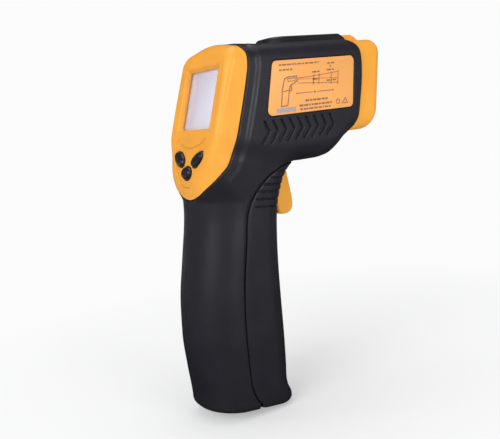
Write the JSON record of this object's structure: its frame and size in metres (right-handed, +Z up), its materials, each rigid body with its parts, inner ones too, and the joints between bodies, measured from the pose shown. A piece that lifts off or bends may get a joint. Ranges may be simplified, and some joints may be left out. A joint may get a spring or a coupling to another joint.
{
  "type": "infrared thermometer",
  "caption": "Pistol-shaped non-contact thermometer with a tilted display, keys, trigger, front lens and a grip that opens for its battery.",
  "frame": {"origin": "bottom centre of the whole object's bounding box, on the mid-plane", "axes": "+X along the barrel towards the lens, +Y to the left of someone holding it, +Z up"},
  "size_m": [0.0984, 0.0406, 0.1489],
  "materials": {
    "yellow_plastic": "satin moulded plastic, finely grained",
    "black_plastic": "soft-touch satin black",
    "dark_plastic": "plain dark moulding",
    "key_plastic": "glossy domed keys",
    "clear_plastic": "clear display plastic",
    "white_plastic": "plain white moulding",
    "board_laminate": "green board laminate",
    "steel": "plated steel",
    "brass": "machined brass",
    "label_film": "printed film label",
    "red_insulation": "red wire insulation",
    "black_insulation": "black wire insulation",
    "lens_film": "milky infrared lens",
    "battery_jacket": "printed metal jacket"
  },
  "bodies": {
    "casing": {"backlight": "white_plastic", "battery": "battery_jacket", "battery_lead_black": "black_insulation", "battery_lead_red": "red_insulation", "battery_snap": "dark_plastic", "board_screw_lower_left": "steel", "board_screw_lower_right": "steel", "board_screw_upper_left": "steel", "board_screw_upper_right": "steel", "case_screw_1": "steel", "case_screw_2": "steel", "case_screw_3": "steel", "case_screw_4": "steel", "display_window": "clear_plastic", "fresnel_lens": "lens_film", "infrared_sensor": "steel", "key_switch_left": "steel", "key_switch_lower": "steel", "key_switch_right": "steel", "laser_holder": "dark_plastic", "laser_lead": "red_insulation", "laser_module": "brass", "laser_window": "clear_plastic", "lcd_frame": "white_plastic", "lcd_glass": "clear_plastic", "left_label": "label_film", "left_shell": "black_plastic", "lens_ring": "dark_plastic", "main_board": "board_laminate", "nose_cover": "yellow_plastic", "processor": "dark_plastic", "rear_bezel": "yellow_plastic", "right_label": "label_film", "right_shell": "black_plastic", "sensor_board": "board_laminate", "sensor_ribbon": "white_plastic", "sensor_tube": "dark_plastic", "trigger_pin": "steel", "trigger_spring": "steel", "trigger_switch": "dark_plastic", "zebra_strip": "dark_plastic"},
    "trigger": {"trigger": "yellow_plastic"},
    "switch_plunger": {"switch_plunger": "white_plastic"},
    "battery_door": {"battery_door": "black_plastic"},
    "key_left": {"button_left": "key_plastic", "key_stem_left": "white_plastic"},
    "key_right": {"button_right": "key_plastic", "key_stem_right": "white_plastic"},
    "key_lower": {"button_lower": "key_plastic", "key_stem_lower": "white_plastic"}
  },
  "joints": [
    {"name": "trigger_pull", "type": "hinge", "parent": "casing", "child": "trigger", "pos_m": [-0.00078, 0, 0.10272], "axis": [0, 1, 0], "range_deg": [0, 8], "stiffness_Nm_per_rad": 0.05, "springref_deg": -5.73, "deforming": ["trigger_spring"]},
    {"name": "switch_press", "type": "slide", "parent": "casing", "child": "switch_plunger", "axis": [0, 0, 1], "range_m": [0, 0.00085]},
    {"name": "door_swing", "type": "hinge", "parent": "casing", "child": "battery_door", "pos_m": [-0.02532, 0, 0.00411], "axis": [0, 1, 0], "range_deg": [0, 70]},
    {"name": "key_press_left", "type": "slide", "parent": "casing", "child": "key_left", "axis": [0.9517, 0, -0.3069], "range_m": [0, 0.0006], "stiffness_N_per_m": 300},
    {"name": "key_press_right", "type": "slide", "parent": "casing", "child": "key_right", "axis": [0.9517, 0, -0.3069], "range_m": [0, 0.0006], "stiffness_N_per_m": 300},
    {"name": "key_press_lower", "type": "slide", "parent": "casing", "child": "key_lower", "axis": [0.9517, 0, -0.3069], "range_m": [0, 0.0006], "stiffness_N_per_m": 300}
  ],
  "couplings": [
    {"joint": "switch_press", "follows": "trigger_pull", "m_per_rad": 0.006}
  ]
}
